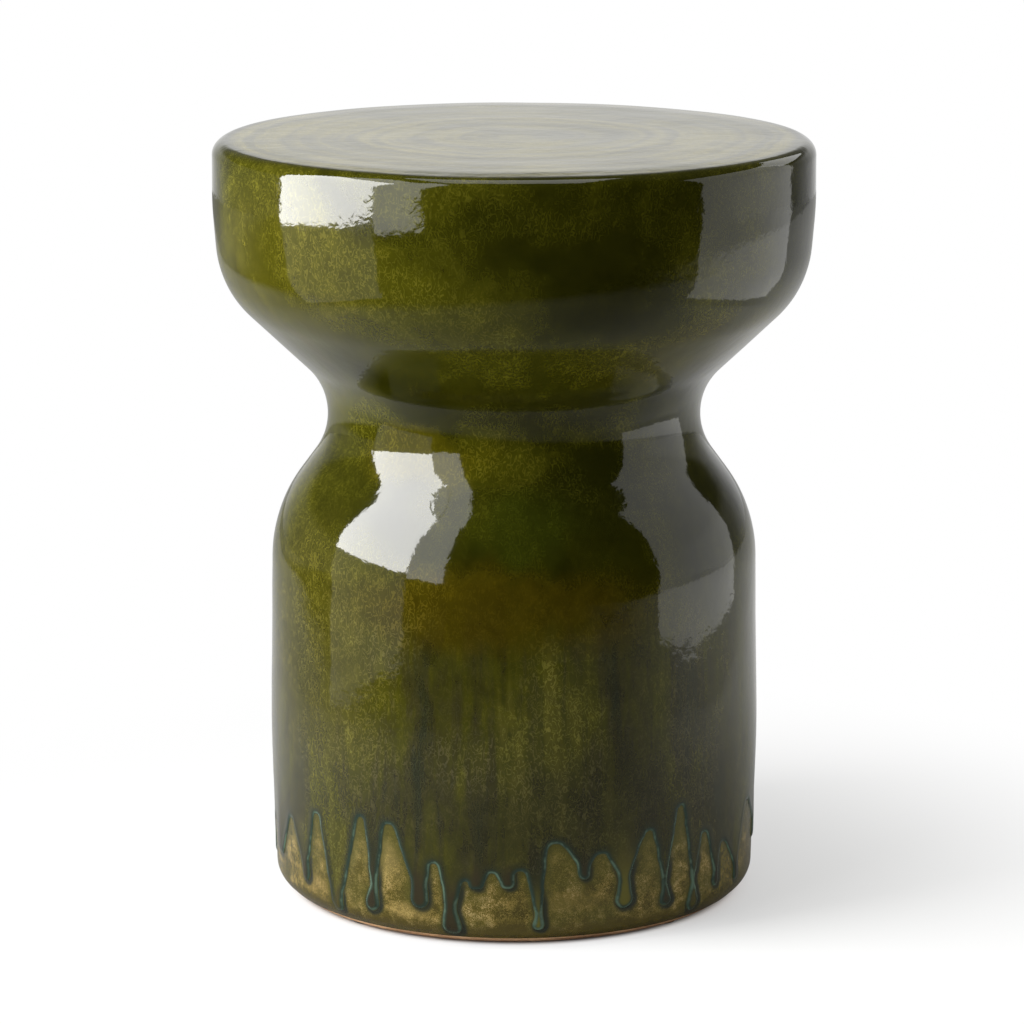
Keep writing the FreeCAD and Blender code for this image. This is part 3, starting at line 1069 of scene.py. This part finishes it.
    def _hem(self, nodes: Nodes, colour: Value, place: Value) -> Value:
        """Adds the teal lines, brown cores and thin places of the fringe to the colour."""
        at = self.hem
        near, bead, thin = (nodes.attribute(name) for name in ("hem_near", "bead", "thin"))
        gap = (1.0 - near) * at.reach + (nodes.noise(place, at.grain) - HALF) * at.waver
        lit = nodes.noise(place, at.lit_grain).range(*at.lit)
        pooled = bead.range(*at.pooled)
        width = pooled * at.pooled_width + (lit * at.lit_width + at.width)
        line = abs(gap - (lit * at.lit_middle + at.middle)).range(width, 0.0)
        line *= (lit * at.lit_share + at.share).at_least(pooled * at.pooled_share)
        for share, tone in (
                (gap.range(*at.dark) * at.dark_share, self.ink),
                (bead.range(*at.core_beads) * gap.range(*at.core) * at.core_share, self.core),
                (thin * gap.range(*at.thin), self.thin),
                (gap.range(*at.rim) * at.rim_share, self.teal_dark),
                (line, self.teal),
                (gap.range(*at.edge), self.thin)):
            colour = nodes.mix(share, colour, tone)
        return colour


@dataclass(frozen=True)
class HoneyGlaze(Finish):
    """The speckled honey glaze that shows between the drips and round the foot."""

    NAME = "honey_glaze"

    speckle: NodeTree
    ripple: NodeTree
    shade: Colour = (0.034, 0.0275, 0.0045)
    olive: Colour = (0.072, 0.058, 0.0085)
    gold: Colour = (0.175, 0.125, 0.030)
    cream: Colour = (0.400, 0.300, 0.130)
    # Painted shade: a darker tone low on the band, where the foot curves under towards the floor.
    painted_foot_shade: Colour = (0.052, 0.040, 0.0065)
    moss: Colour = (0.050, 0.048, 0.0065)
    # Painted shade: the shadow below and right of the beads, and a thin shade along the hem.
    painted_shade: Colour = (0.014, 0.017, 0.010)
    # Painted light: bright zones, mostly on the left of the band where the lamp falls, over the
    # glaze's speckle.
    patches: tuple[Patch, ...] = tuple(Patch(*row) for row in (
        ((-0.078, -0.125, 0.048), (0.016, 0.020, 0.018), (0.300, 0.225, 0.075), 0.55),
        ((-0.098, -0.110, 0.052), (0.010, 0.020, 0.018), (0.220, 0.180, 0.060), 0.45),
        ((-0.062, -0.130, 0.019), (0.018, 0.020, 0.007), (0.300, 0.215, 0.070), 0.50),
        ((-0.122, -0.080, 0.022), (0.020, 0.025, 0.009), (0.260, 0.185, 0.065), 0.45),
        ((0.030, -0.140, 0.028), (0.040, 0.020, 0.009), (0.130, 0.095, 0.022), 0.45),
    ))
    patch_reach: float = 0.006
    roughness: float = 0.12
    index: float = 1.5
    bump_depth: float = 0.10 * MM
    worm_scale: float = 700.0
    worm_twist: float = 2.8
    worm_share: float = 0.70
    worm_bump: float = 0.25
    clouds: Grain = Grain(60.0, 3.0, 0.6, 0.4)
    cloud_share: float = 1.1
    lift: float = 0.12
    mosses: Grain = Grain(38.0, 2.0)
    moss_stretch: Pair = (0.45, 0.62)
    moss_share: float = 0.5
    high_heights: Pair = (0.030, 0.066)
    high_share: float = 0.70
    # How much of the painted light shows, by the speckle.
    painted_light_zones: Pair = (0.55, 1.0)
    foot_shade_heights: Four = (0.0175, 0.0105, 0.0, 0.85)
    foot_shade_waver: float = 0.016
    edge: Pair = (0.62, 0.95)
    edge_share: float = 0.55
    bead_shadow_stretch: Pair = (0.72, 0.98)
    bead_shadow_strength: Four = (0.10, 0.50, 0.08, 0.95)
    # Painted shade: a thin dark line along the hem, where the run's edge stands over the band.
    line: Pair = (0.92, 0.99)
    hem_shade_share: float = 0.30

    def look(self, nodes: Nodes, place: Value) -> dict[str, object]:
        """The speckle, moss, bright zones of painted light, and painted shade low down and at the
        hem, on each place.
        """
        height = nodes.add("SeparateXYZ", Vector=place)["Z"]
        worms = nodes.add("Group", {"node_tree": self.speckle}, Vector=place,
                          Scale=self.worm_scale, Twist=self.worm_twist)["Mask"]
        clouds = nodes.noise(place, self.clouds) - HALF
        colour = nodes.ramp(
            clouds * self.cloud_share + worms * self.worm_share + self.lift,
            [(0.0, self.shade), (0.3, self.olive), (0.72, self.gold), (1.0, self.cream)])
        mossy = nodes.noise(place, self.mosses).range(*self.moss_stretch) * self.moss_share
        high = height.range(*self.high_heights) * self.high_share
        colour = nodes.mix(mossy.at_least(high), colour, self.moss)
        # Painted light: the bright zones, shown where the speckle is.
        painted_light_zones = nodes.patched(colour, place, self.patches, self.patch_reach)
        colour = nodes.mix(worms.range(0.0, 1.0, *self.painted_light_zones), colour, painted_light_zones)
        near, below, bead = (nodes.attribute(name) for name in ("hem_near", "bead_shadow_near", "bead"))
        # Painted shade low down: the wavered height that sets where the foot's shade ends.
        edge = height + clouds * self.foot_shade_waver
        for share, tone in (
                (edge.range(*self.foot_shade_heights), self.painted_foot_shade),
                (near.range(*self.edge) * self.edge_share, self.moss),
                # Painted shadow below and right of the beads.
                (below.range(*self.bead_shadow_stretch) * bead.range(*self.bead_shadow_strength), self.painted_shade),
                # Painted shade along the hem.
                (near.range(*self.line) * self.hem_shade_share, self.painted_shade)):
            colour = nodes.mix(share, colour, tone)
        ripple = nodes.add("Group", {"node_tree": self.ripple}, Vector=place)["Height"]
        return {"Base Color": colour, "Roughness": self.roughness, "IOR": self.index,
                "Normal": nodes.bump(worms * self.worm_bump + ripple, self.bump_depth)}


@dataclass(frozen=True)
class BareClay(Finish):
    """The unglazed buff clay of the foot and of the hollow inside."""

    NAME = "bare_clay"

    pale: Colour = (0.640, 0.400, 0.220)
    dark: Colour = (0.440, 0.240, 0.120)
    grog: Colour = (0.160, 0.080, 0.040)
    clouds: Grain = Grain(30.0, 4.0, 0.6)
    grains: Grain = Grain(900.0, 2.0, 0.6)
    rings: Grain = Grain(260.0, 2.0)
    ring_flow: Triple = (0.06, 0.06, 1.0)
    ring_bump: float = 1.5
    cloud_stretch: Pair = (0.35, 0.65)
    grog_stretch: Pair = (0.60, 0.68)
    grog_share: float = 0.6
    roughness: Four = (0.3, 0.7, 0.74, 0.90)
    bump_depth: float = 0.25 * MM

    def look(self, nodes: Nodes, place: Value) -> dict[str, object]:
        """The clouded clay, its grog and its turning marks on each place."""
        clouds = nodes.noise(place, self.clouds).range(*self.cloud_stretch)
        grains = nodes.noise(place, self.grains)
        rings = nodes.noise(nodes.stretched(place, self.ring_flow), self.rings)
        colour = nodes.mix(grains.range(*self.grog_stretch) * self.grog_share,
                           nodes.mix(clouds, self.dark, self.pale), self.grog)
        return {"Base Color": colour, "Roughness": grains.range(*self.roughness),
                "Normal": nodes.bump(grains + rings * self.ring_bump, self.bump_depth)}


@dataclass(frozen=True)
class Rubber(Finish):
    """The dark rubber of the pads under the foot."""

    NAME = "dark_rubber"

    colour: Colour = (0.020, 0.020, 0.021)
    dust: Colour = (0.060, 0.058, 0.055)
    dusting: Grain = Grain(420.0, 3.0)
    dust_stretch: Pair = (0.5, 0.75)
    dust_share: float = 0.5
    pores: Grain = Grain(1500.0, 2.0)
    roughness: Pair = (0.62, 0.8)
    bump_depth: float = 0.05 * MM

    def look(self, nodes: Nodes, place: Value) -> dict[str, object]:
        """The rubber with its dust and pores on each place."""
        dust = nodes.noise(place, self.dusting).range(*self.dust_stretch)
        return {"Base Color": nodes.mix(dust * self.dust_share, self.colour, self.dust),
                "Roughness": dust.range(0.0, 1.0, *self.roughness),
                "Normal": nodes.bump(nodes.noise(place, self.pores), self.bump_depth)}


# Sub-assemblies

@dataclass
class ClayBody:
    """The clay beneath the glaze: foot ring, drum, bowl and seat slab, hollow inside."""

    outline: Outline
    clay: Material
    glaze_depth: float = 1.0 * MM
    bare: float = 3.35 * MM
    bare_depth: float = 0.45 * MM
    wall: float = 9 * MM
    foot_width: float = 22 * MM
    steps: int = 192
    seat_steps: int = 24
    outer_every: int = 2
    inner_every: int = 3
    edge: float = 0.7 * MM
    edge_segments: int = 2
    edge_angle: float = 50

    def build(self) -> list[Object]:
        """Builds and dresses the four turned sections.

        Returns:
            The foot ring, drum, bowl and seat slab.
        """
        return [self._foot(), self._walled("drum_section"), self._walled("bowl_section"),
                self._seat()]

    def _limits(self, node: str) -> Pair:
        """The lowest and highest place of a frame node."""
        low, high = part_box(node)
        return low.z, high.z

    def _foot(self) -> Object:
        """The ring that the stool stands on."""
        low, high = self._limits("foot_ring")
        outer = self.outline.layer(low, high, self.glaze_depth)
        lip = self.outline.layer(low, low + self.bare, self.bare_depth)
        outer = np.concatenate([lip[:1], lip[-1:], outer[outer[:, 1] > low + self.bare]])
        inner = self.outline.points[0, 0] - self.foot_width
        ring = np.array([[inner, high], [inner, (low + high) / 2], [inner, low]])
        return self._dress("clay_foot_ring", np.concatenate([outer, ring]), "foot_ring")

    def _walled(self, node: str) -> Object:
        """A hollow section between two heights."""
        low, high = self._limits(node)
        outer = self.outline.layer(low, high, self.glaze_depth)
        inner = self.outline.layer(low, high, self.wall)
        section = np.concatenate([outer[:1], outer[1:-1:self.outer_every], outer[-1:],
                                  inner[-1:], inner[-2:0:-self.inner_every], inner[:1]])
        return self._dress("clay_" + node, section, node)

    def _seat(self) -> Object:
        """The slab that closes the bowl, under its glaze."""
        low, _ = self._limits("seat_slab")
        outer = self.outline.layer(low, ABOVE_SEAT, self.glaze_depth)
        under = np.linspace(outer[0, 0], 0.0, self.seat_steps)[:0:-1]
        section = np.concatenate([outer, np.stack([under, np.full(len(under), low)], 1)])
        return self._dress("clay_seat_slab", section, "seat_slab")

    def _dress(self, name: str, section: np.ndarray, node: str) -> Object:
        """Turns a section, softens its sharp edges and dresses it."""
        obj = Bench.turn(name, section, self.steps)
        Bench.soften(obj, self.edge, self.edge_segments, self.edge_angle)
        Bench.smooth(obj)
        return Bench.finish(obj, self.clay, "bare_stoneware", [node])


@dataclass
class GlazeCoat:
    """The green glaze over the drum, neck, bowl and seat, down to the top of the fringe."""

    outline: Outline
    relief: Relief
    glaze: Material
    foot: float = 115 * MM
    thickness: float = 0.96 * MM
    steps: int = 384
    inner_every: int = 4

    def build(self) -> Object:
        """Builds and dresses the coat.

        Returns:
            The coat, one closed shell.
        """
        outer = self.outline.layer(self.foot, ABOVE_SEAT, 0.0)
        inner = self.outline.layer(self.foot, ABOVE_SEAT, self.thickness)
        section = np.concatenate([outer, inner[-1:], inner[-2:0:-self.inner_every], inner[:1]])
        obj = Bench.turn("green_glaze_coat", section, self.steps)
        places = Bench.places(obj)
        across = np.hypot(places[:, 0], places[:, 1])
        near = self.outline.nearest(np.stack([across, places[:, 2]], 1))
        heights = self.relief.at(places, self.outline.along[near])
        ways = self.outline.outward[near]
        aside = places[:, :2] / np.maximum(across, SAME_PLACE)[:, None]
        places[:, :2] += aside * (ways[:, 0] * heights)[:, None]
        places[:, 2] += ways[:, 1] * heights
        Bench.move(obj, places)
        Bench.smooth(obj)
        return Bench.finish(obj, self.glaze, "glazed_stoneware")


@dataclass
class DripFringe:
    """The green run's hem of arches and drips, and the honey glaze band behind it."""

    outline: Outline
    relief: Relief
    hem: Hem
    glaze: Material
    honey: Material
    top: float = 115 * MM
    bottom: float = 5.1 * MM
    band_bottom: float = 4.9 * MM
    band_top: float = 82 * MM
    columns: int = 768
    row: float = 1.35 * MM
    sunk: float = 0.55 * MM
    bead_depth: float = 0.8 * MM
    roll_width: float = 2.6 * MM
    roll_growth: float = 0.6
    roll_rise: float = 0.16 * MM
    roll_middle: float = 2.4 * MM
    roll_spread: float = 1.8 * MM
    skin: float = 0.42 * MM
    band_sunk: float = 0.5 * MM
    band_inner: float = 0.96 * MM
    band_inner_every: int = 6
    reach: float = 12 * MM
    # How far the painted bead shadow on the band falls right and down.
    bead_shadow_shift: Pair = (-1.3 * MM, 1.0 * MM)
    grid_step: float = 0.7 * MM
    grid_below: float = 2 * MM
    grid_above: float = 3 * MM
    doubles: float = 5e-6
    sharp: float = 60.0

    def build(self) -> list[Object]:
        """Builds and dresses the fringe and the band.

        Returns:
            The fringe and the honey glaze band.
        """
        return [self._fringe(), self._band()]

    def _skin(self, ways: np.ndarray, heights: np.ndarray, lift: np.ndarray) -> np.ndarray:
        """Places on the drum, lifted off the plain form, with its relief.

        Args:
            ways: The way round of each place.
            heights: The height of each place.
            lift: How far each place stands proud of the glazed outline.

        Returns:
            One row of x, y and z for each place.
        """
        angle = ways / self.hem.radius
        radius = self.outline.radius_at(heights)
        round_x, round_y = np.sin(angle), -np.cos(angle)
        plain = np.stack([round_x * radius, round_y * radius, heights], 1)
        out = self.outline.outward_at(heights)
        lift = lift + self.relief.at(plain, self.outline.along_at(heights))
        return plain + np.stack([round_x * out[:, 0], round_y * out[:, 0], out[:, 1]],
                                1) * lift[:, None]

    def _fringe(self) -> Object:
        """The hem itself, cut out of a sheet that wraps the drum."""
        rows = math.ceil((self.top - self.bottom) / self.row)
        obj = Bench.new("green_drip_fringe", bpy.ops.mesh.primitive_grid_add, size=1.0,
                        x_subdivisions=self.columns, y_subdivisions=rows)
        flat = Bench.places(obj)
        column = np.rint((flat[:, 0] + 0.5) * self.columns).astype(int)
        line = np.rint((flat[:, 1] + 0.5) * rows).astype(int)
        ways = np.arange(self.columns + 1) / self.columns * self.hem.girth
        heights = self.bottom + np.arange(rows + 1) / rows * (self.top - self.bottom)
        distance, spot = self.hem.measure(ways, heights)
        inside = distance > 0
        cells = (inside[:-1, :-1] | inside[1:, :-1] | inside[:-1, 1:] | inside[1:, 1:])
        used = np.zeros(inside.shape, bool)
        for across in (slice(None, -1), slice(1, None)):
            for up in (slice(None, -1), slice(1, None)):
                used[across, up] |= cells
        hanging = used & ~inside
        way_at = np.where(hanging, spot[..., 0], ways[:, None])[column, line]
        height_at = np.where(hanging, spot[..., 1], heights[None])[column, line]
        gap = np.where(hanging, 0.0, np.maximum(distance, 0.0))[column, line]
        bead, thin = self.hem.beads(way_at, height_at)
        Bench.move(obj, self._skin(way_at, height_at, self._lift(gap, bead)))
        keep = used[column, line]
        Bench.choose(obj.data, "VERT", ~keep)
        with Bench.editing():
            bpy.ops.mesh.delete(type="VERT")
        Bench.mark(obj, "hem_near", np.clip(1 - gap[keep] / self.reach, 0, 1))
        Bench.mark(obj, "bead", bead[keep])
        Bench.mark(obj, "thin", thin[keep])
        Bench.close(self.doubles)
        solid = obj.modifiers.new("skin", "SOLIDIFY")
        solid.thickness = self.skin
        solid.offset = -1.0
        Bench.apply(obj)
        Bench.smooth(obj, self.sharp)
        return Bench.finish(obj, self.glaze, "run_glaze", ["green_glaze_run"])

    def _lift(self, gap: np.ndarray, bead: np.ndarray) -> np.ndarray:
        """How far the run stands proud, from its distance to the hem and its beads."""
        width = self.roll_width * (1 + self.roll_growth * bead)
        share = 1 - np.minimum(gap / width, 1.0)
        depth = self.sunk + self.bead_depth * bead
        roll = self.roll_rise * np.exp(-((gap - self.roll_middle) / self.roll_spread) ** 2)
        return depth * np.sqrt(np.maximum(1 - share ** 2, 0.0)) - self.sunk + roll

    def _band(self) -> Object:
        """The honey glaze band, which shows through the arches and below the drips."""
        low = self.band_bottom
        rows = math.ceil((self.band_top - low) / self.row)
        up = np.linspace(low, self.band_top, rows + 1)
        plain = self.outline.radius_at(up)
        out = self.outline.outward_at(up)
        outer = np.stack([plain, up], 1) - out * self.band_sunk
        inner = np.stack([plain, up], 1) - out * self.band_inner
        inner = inner[::-self.band_inner_every]
        inner = np.concatenate([inner, [[plain[0] - self.band_inner, low]]])
        outer[0, 1] = low
        obj = Bench.turn("honey_glaze_band", np.concatenate([outer, inner]), self.columns)
        places = Bench.places(obj)
        ways = np.arctan2(places[:, 0], -places[:, 1]) * self.hem.radius
        heights = places[:, 2]
        along = self.outline.along_at(heights)
        places[:, :2] *= (1 + self.relief.at(places, along) / np.hypot(
            places[:, 0], places[:, 1]))[:, None]
        Bench.move(obj, places)
        grid = np.arange(self.columns + 1) / self.columns * self.hem.girth
        fine = np.arange(low - self.grid_below, self.band_top + self.grid_above, self.grid_step)
        distance, _ = self.hem.measure(grid, fine)
        # Painted shadow: the hem and beads are read at places moved left and up, so the shade
        # falls below and right of them.
        shifted = ways + self.bead_shadow_shift[0], heights + self.bead_shadow_shift[1]
        Bench.mark(obj, "hem_near", self._near(distance, fine, ways, heights))
        Bench.mark(obj, "bead_shadow_near", self._near(distance, fine, *shifted))
        bead, _ = self.hem.beads(*shifted)
        Bench.mark(obj, "bead", bead)
        Bench.smooth(obj)
        return Bench.finish(obj, self.honey, "glazed_stoneware")

    def _near(self, distance: np.ndarray, fine: np.ndarray, ways: np.ndarray,
              heights: np.ndarray) -> np.ndarray:
        """How near each place is to the hem, read from a grid of measured places.

        Args:
            distance: The signed distance for each column and row of the grid.
            fine: The heights of the grid's rows.
            ways: The way round of each place.
            heights: The height of each place.

        Returns:
            1 at the hem and under the run, falling to 0 at the reach.
        """
        x = (ways % self.hem.girth) / self.hem.girth * self.columns
        y = (heights - fine[0]) / (fine[1] - fine[0])
        y = np.clip(y, 0, len(fine) - 1.001)
        i, j = np.minimum(x.astype(int), self.columns - 1), y.astype(int)
        a, b = x - i, y - j
        value = ((1 - a) * (1 - b) * distance[i, j] + a * (1 - b) * distance[i + 1, j]
                 + (1 - a) * b * distance[i, j + 1] + a * b * distance[i + 1, j + 1])
        return np.clip(1 - np.maximum(-value, 0.0) / self.reach, 0.0, 1.0)


@dataclass
class RubberFeet:
    """Four low rubber pads let into the foot ring."""

    rubber: Material
    diameter: float = 18 * MM
    count: int = 4
    sides: int = 48
    first_angle: float = 45
    edge: float = 0.35 * MM
    edge_segments: int = 3
    edge_angle: float = 60
    rim: float = 2.2 * MM
    slope: float = 0.5 * MM
    hollow: float = 0.25 * MM
    downward: float = -0.9

    def build(self) -> list[Object]:
        """Builds and dresses the pads.

        Returns:
            The pads, in order round the foot.
        """
        low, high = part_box("rubber_feet")
        reach = high.x - self.diameter / 2
        height = high.z - low.z
        first = Bench.new("rubber_foot_1", bpy.ops.mesh.primitive_cylinder_add,
                          vertices=self.sides, radius=self.diameter / 2, depth=height,
                          location=(0, 0, low.z + height / 2))
        bpy.ops.object.transform_apply(location=True, rotation=True, scale=True)
        Bench.choose(first.data, "FACE",
                     [face.normal.z < self.downward for face in first.data.polygons])
        with Bench.editing():
            bpy.ops.mesh.inset(thickness=self.rim)
            bpy.ops.mesh.inset(thickness=self.slope, depth=-self.hollow)
        Bench.soften(first, self.edge, self.edge_segments, self.edge_angle)
        plain = Bench.places(first)
        pads = [first, *(first.copy() for _ in range(1, self.count))]
        for k, pad in enumerate(pads):
            if k:
                pad.data = first.data.copy()
                bpy.context.scene.collection.objects.link(pad)
            pad.name = pad.data.name = f"rubber_foot_{k + 1}"
            angle = math.radians(self.first_angle + 360 / self.count * k)
            shift = np.array((math.cos(angle), math.sin(angle), 0.0)) * reach * math.sqrt(2)
            Bench.move(pad, plain + shift)
        for pad in pads:
            Bench.smooth(pad)
            Bench.finish(pad, self.rubber, "rubber", ["rubber_feet"])
        return pads


# Studio

@dataclass(frozen=True)
class Panel:
    """A soft lamp: its middle, its aim, its size and what a reflection of it reads."""

    name: str
    middle: Triple
    aim: Triple
    width: float
    height: float
    radiance: float

    def hang(self) -> None:
        """Hangs the lamp, which reflections show and the camera doesn't."""
        data = bpy.data.lights.new(self.name, "AREA")
        data.shape = "RECTANGLE"
        data.size, data.size_y = self.width, self.height
        data.energy = self.radiance * math.pi * self.width * self.height
        lamp = bpy.data.objects.new(self.name, data)
        bpy.context.scene.collection.objects.link(lamp)
        lamp.location = self.middle
        lamp.rotation_mode = "QUATERNION"
        lamp.rotation_quaternion = Vector(self.aim).to_track_quat("-Z", "Y")
        lamp.visible_camera = False


@dataclass
class Studio:
    """The pale floor, the white surroundings, the soft lamps and the camera.

    The pool is the part of the floor that reflections show lit. Apart from its middle, a pair
    is a stretch over which something fades: in metres on the floor, and as a share of the
    way's length in the surroundings.
    """

    floor_radius: float = 3.0
    floor_sides: int = 128
    paper: float = 0.74
    paper_blue: float = 0.985
    pool_middle: Pair = (0.45, 1.2)
    pool_narrow: float = 1.4
    pool: Pair = (1.95, 2.25)
    pool_sides: Pair = (-0.30, 1.1)
    pool_slant: float = 0.8
    pool_front: float = 0.14
    far_floor: Four = (0.3, 1.4, 0.0, 0.55)
    contact: Pair = (0.129, 0.138)
    shadow_side: Pair = (-0.04, 0.10)
    shadow_slant: float = 0.5
    haze_front: float = 0.80
    haze: float = 0.40
    fade: Pair = (0.17, 0.50)
    fill: float = 0.34
    side: float = 0.70
    side_stretch: Pair = (-0.35, 0.15)
    back_low: float = 0.15
    back_high: float = 0.90
    back_width: float = 0.64
    back_top: Pair = (0.155, 0.27)
    back_over_top: float = 0.2
    rear: Pair = (-0.25, 0.15)
    lens: float = 155.41
    sensor: float = 36.0
    lens_shift: float = -0.00205
    camera_place: Triple = (0.0, -2.588, 0.7908)
    camera_tilt: float = 0.21423
    lamps: tuple[Panel, ...] = tuple(Panel(*row) for row in (
        ("window_left", (-0.65, -0.315, 0.7425), (1, 0, 0), 0.55, 0.815, 14.5),
        ("wall_left", (-0.66, -0.835, 1.22), (1, 0, 0), 0.47, 1.85, 3.0),
        ("wall_over_window", (-0.66, -0.315, 1.45), (1, 0, 0), 0.55, 0.60, 3.2),
        ("low_left", (-0.67, -0.315, 0.17), (1, 0, 0), 0.55, 0.33, 0.60),
        ("card_right", (0.65, 0.015, 0.475), (-1, 0, 0), 0.63, 0.85, 0.95),
        ("card_back", (0.58, 0.50, 0.80), (-0.76, -0.65, -0.2), 0.40, 0.26, 1.4),
        ("sky", (0.0, -0.01, 1.60), (0, 0, -1), 0.75, 0.80, 1.9),
    ))

    def build(self) -> None:
        """Sets up the floor, surroundings, lamps and camera."""
        self._floor()
        self._surroundings()
        for lamp in self.lamps:
            lamp.hang()
        self._camera()

    def _floor(self) -> None:
        """A plain pale floor that runs out into the white and hides nothing from below."""
        floor = Bench.new("pale_floor", bpy.ops.mesh.primitive_circle_add, fill_type="NGON",
                          vertices=self.floor_sides, radius=self.floor_radius)
        material, nodes, shader, out = new_material("pale_paper")
        place = nodes.add("TexCoord")["Object"]
        parts = nodes.add("SeparateXYZ", Vector=place)
        path = nodes.add("LightPath")
        nodes.feed_all(shader, {"Base Color": self._paper(nodes, place, parts, path),
                                "Roughness": 1.0, "Specular IOR Level": 0.0})
        away = nodes.length(place)
        rightwards = parts["Y"] * self.shadow_slant + parts["X"]
        haze = rightwards.range(*self.shadow_side, self.haze_front, self.haze)
        far = away.range(*self.fade) * (1.0 - haze) + haze
        fade = path["Is Camera Ray"] * (far * away.range(*self.contact))
        white = nodes.add("Emission", Color=WHITE, Strength=1.0)["Emission"]
        lit = nodes.feed_all(nodes.add("MixShader", Fac=fade), {1: shader["BSDF"], 2: white})
        under = nodes.add("MixShader", Fac=nodes.add("NewGeometry")["Backfacing"])
        nodes.feed_all(under, {1: lit["Shader"], 2: nodes.add("BsdfTransparent")["BSDF"]})
        nodes.feed_all(out, {"Surface": under["Shader"]})
        floor.data.materials.append(material)

    def _paper(self, nodes: Nodes, place: Value, parts: Placed, path: Placed) -> Value:
        """The floor's colour, which reflections show darker outside the pool."""
        narrow, (x, y) = self.pool_narrow, self.pool_middle
        away = nodes.length(nodes.stretched(place, (narrow, 1.0, 1.0), (-x * narrow, -y, 0.0)))
        side = (parts["Y"] + abs(parts["X"]) * self.pool_slant).range(
            *self.pool_sides, self.pool_front, 1.0)
        pool = (away.range(*self.pool, 1.0, 0.0) * side).at_least(
            parts["Y"].range(*self.far_floor))
        bright = (1.0 - path["Is Glossy Ray"] * (1.0 - pool)) * self.paper
        return nodes.add("CombineColor", Red=bright, Green=bright,
                         Blue=bright * self.paper_blue)["Color"]

    def _surroundings(self) -> None:
        """White for the camera, a bright back wall in reflections, and an even fill."""
        world = bpy.data.worlds.new("studio")
        bpy.context.scene.world = world
        world.use_nodes = True
        world.node_tree.nodes.clear()
        nodes = Nodes(world.node_tree)
        parts = nodes.add("SeparateXYZ", Vector=nodes.add("TexCoord")["Generated"])
        path = nodes.add("LightPath")
        behind = parts["Y"].range(self.back_width, 1.0, soft=False)
        glow = behind * behind * (self.back_high - self.back_low) + self.back_low
        below_top = parts["Z"].range(*self.back_top, 1.0, self.back_over_top)
        shown = glow * below_top * parts["Y"].range(*self.rear)
        fill = parts["Y"].range(*self.side_stretch, self.fill, self.side)
        glossy = path["Is Glossy Ray"]
        level = (glossy * shown + (1.0 - glossy) * fill).at_least(path["Is Camera Ray"])
        light = nodes.add("Background", Color=WHITE, Strength=level)["Background"]
        nodes.add("OutputWorld", Surface=light)

    def _camera(self) -> None:
        """The camera, where the photograph was taken from."""
        data = bpy.data.cameras.new("camera")
        data.lens = self.lens
        data.sensor_width = self.sensor
        data.shift_x = self.lens_shift
        camera = bpy.data.objects.new("camera", data)
        bpy.context.scene.collection.objects.link(camera)
        camera.location = self.camera_place
        camera.rotation_euler = (math.pi / 2 - self.camera_tilt, 0.0, 0.0)
        bpy.context.scene.camera = camera


def main() -> None:
    """Builds the stool and its studio, and notes each piece's vertex count."""
    logging.basicConfig(level=logging.INFO, format="%(message)s")
    bpy.context.scene.view_settings.view_transform = "Standard"
    outline = Outline(STOOL_CORNERS, OUTLINE_STEP)
    relief = Relief()
    groups = speckle_group(), ripple_group()
    green, honey = GreenGlaze(*groups).made(), HoneyGlaze(*groups).made()
    ClayBody(outline, BareClay().made()).build()
    GlazeCoat(outline, relief, green).build()
    hem = Hem(GIRTH_RADIUS, [*FRONT_DRIPS, *BackDrips().made()])
    DripFringe(outline, relief, hem, green, honey).build()
    RubberFeet(Rubber().made()).build()
    Studio().build()


if __name__ == "__main__":
    main()
